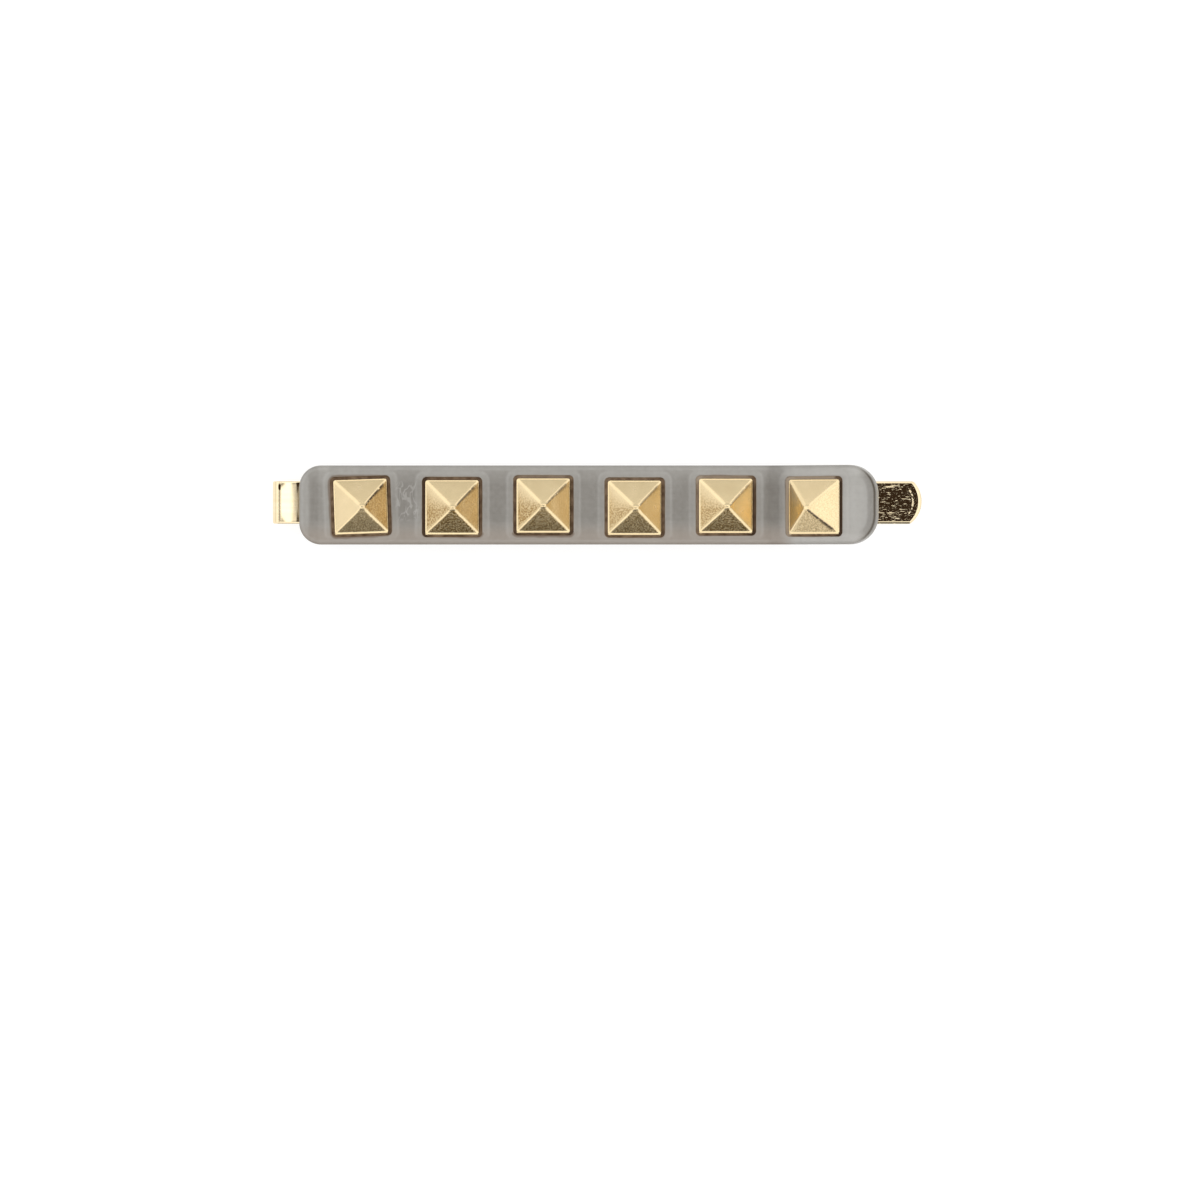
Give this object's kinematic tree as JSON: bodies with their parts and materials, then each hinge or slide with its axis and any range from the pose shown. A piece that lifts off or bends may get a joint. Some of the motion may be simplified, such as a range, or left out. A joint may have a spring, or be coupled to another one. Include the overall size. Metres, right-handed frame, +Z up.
{
  "type": "bobby pin",
  "caption": "Decorative bobby pin: a flat spring strip bent double, its upper leg under a turned-up acetate bar set with pyramid studs.",
  "frame": {"origin": "middle of the pin's box, on the surface that it lies on", "axes": "+X along the pin, from the round bend to the bare tongue; +Z up, out of the studs; +Y across the pin"},
  "size_m": [0.0716, 0.0088, 0.0079],
  "materials": {
    "strip": "bright gold plate on spring steel, mirror polished",
    "bar": "warm grey cellulose acetate, semi-gloss, slightly translucent",
    "clear_adhesive": "thin clear adhesive film",
    "stud": "satin gold, fine tumbled grain",
    "stud_bed": "dark brown cured adhesive"
  },
  "bodies": {
    "lower_side": {"lower_leg": "strip"},
    "upper_side": {"spring_bend": "strip", "upper_leg": "strip", "bar_adhesive": "clear_adhesive", "bar": "bar", "stud_1": "stud", "stud_2": "stud", "stud_3": "stud", "stud_4": "stud", "stud_5": "stud", "stud_6": "stud", "stud_bed_1": "stud_bed", "stud_bed_2": "stud_bed", "stud_bed_3": "stud_bed", "stud_bed_4": "stud_bed", "stud_bed_5": "stud_bed", "stud_bed_6": "stud_bed"}
  },
  "joints": [
    {"name": "open", "type": "hinge", "parent": "lower_side", "child": "upper_side", "pos_m": [-0.0349, 0.0003, 0.00135], "axis": [0, -1, 0], "range_deg": [0, 10], "stiffness_Nm_per_rad": 0.2, "springref_deg": -5.73, "deforming": ["spring_bend"]}
  ]
}
